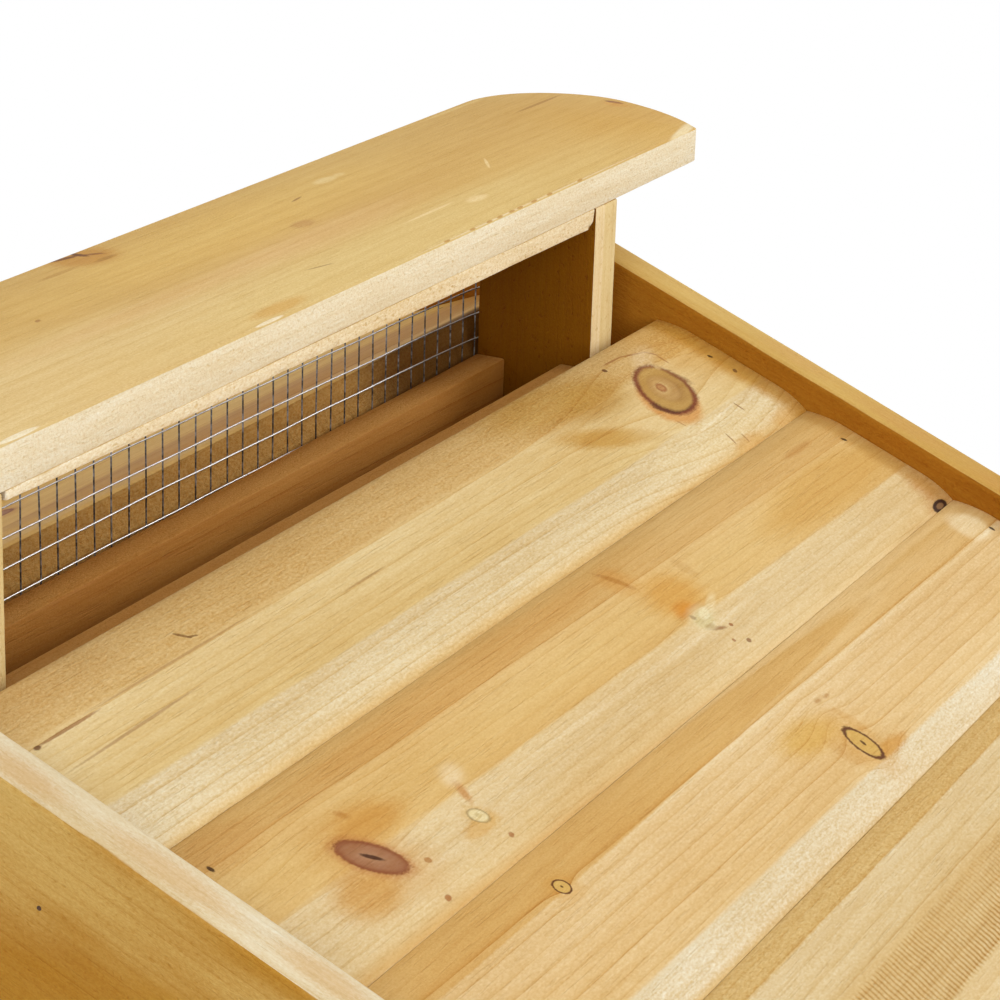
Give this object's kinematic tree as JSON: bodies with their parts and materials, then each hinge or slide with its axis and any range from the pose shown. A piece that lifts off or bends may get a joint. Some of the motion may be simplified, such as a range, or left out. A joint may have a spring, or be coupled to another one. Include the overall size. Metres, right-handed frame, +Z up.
{
  "type": "bird table",
  "caption": "Wooden bird table on a cross-footed post, with lapped roof boards and a wire-backed nut feeder under a lift-off ridge lid.",
  "frame": {"origin": "on the ground, in the middle of the crossed feet", "axes": "+Z up, X along the ridge of the roof, the filling side of the feeder faces -Y"},
  "size_m": [0.48, 0.48, 1.1495],
  "materials": {
    "lid_wood": "planed softwood with a thin honey stain, sawn edges",
    "feeder_wood": "planed softwood, stained",
    "roof_wood": "planed knotty softwood, pale honey",
    "rail_wood": "planed softwood with a thin honey stain",
    "tray_wood": "planed softwood with a thin honey stain",
    "stand_wood": "planed softwood with a thin honey stain",
    "mesh_wire": "bright galvanised wire"
  },
  "bodies": {
    "table": {"feeder_end_left": "feeder_wood", "feeder_end_right": "feeder_wood", "feeder_floor": "feeder_wood", "feeder_front_board": "feeder_wood", "feeder_back_board": "feeder_wood", "feeder_mesh": "mesh_wire", "near_board_1": "roof_wood", "near_board_2": "roof_wood", "near_board_3": "roof_wood", "near_board_4": "roof_wood", "far_board_1": "roof_wood", "far_board_2": "roof_wood", "far_board_3": "roof_wood", "far_board_4": "roof_wood", "rail_near_left": "rail_wood", "rail_near_right": "rail_wood", "rail_far_left": "rail_wood", "rail_far_right": "rail_wood", "rafter_near_left": "rail_wood", "rafter_near_right": "rail_wood", "rafter_far_left": "rail_wood", "rafter_far_right": "rail_wood", "corner_post_near_left": "tray_wood", "corner_post_near_right": "tray_wood", "corner_post_far_left": "tray_wood", "corner_post_far_right": "tray_wood", "tray_board_1": "tray_wood", "tray_board_2": "tray_wood", "tray_board_3": "tray_wood", "tray_board_4": "tray_wood", "tray_rim_near": "tray_wood", "tray_rim_far": "tray_wood", "tray_rim_left": "tray_wood", "tray_rim_right": "tray_wood", "tray_bearer_left": "tray_wood", "tray_bearer_right": "tray_wood", "post": "stand_wood", "foot_along": "stand_wood", "foot_across": "stand_wood", "brace_left": "stand_wood", "brace_right": "stand_wood", "brace_near": "stand_wood", "brace_far": "stand_wood"},
    "lid": {"lid": "lid_wood", "lid_strip_front": "lid_wood", "lid_strip_back": "lid_wood"}
  },
  "joints": [
    {"name": "lid_lift", "type": "slide", "parent": "table", "child": "lid", "axis": [0, 0, 1], "range_m": [0, 0.12]}
  ]
}
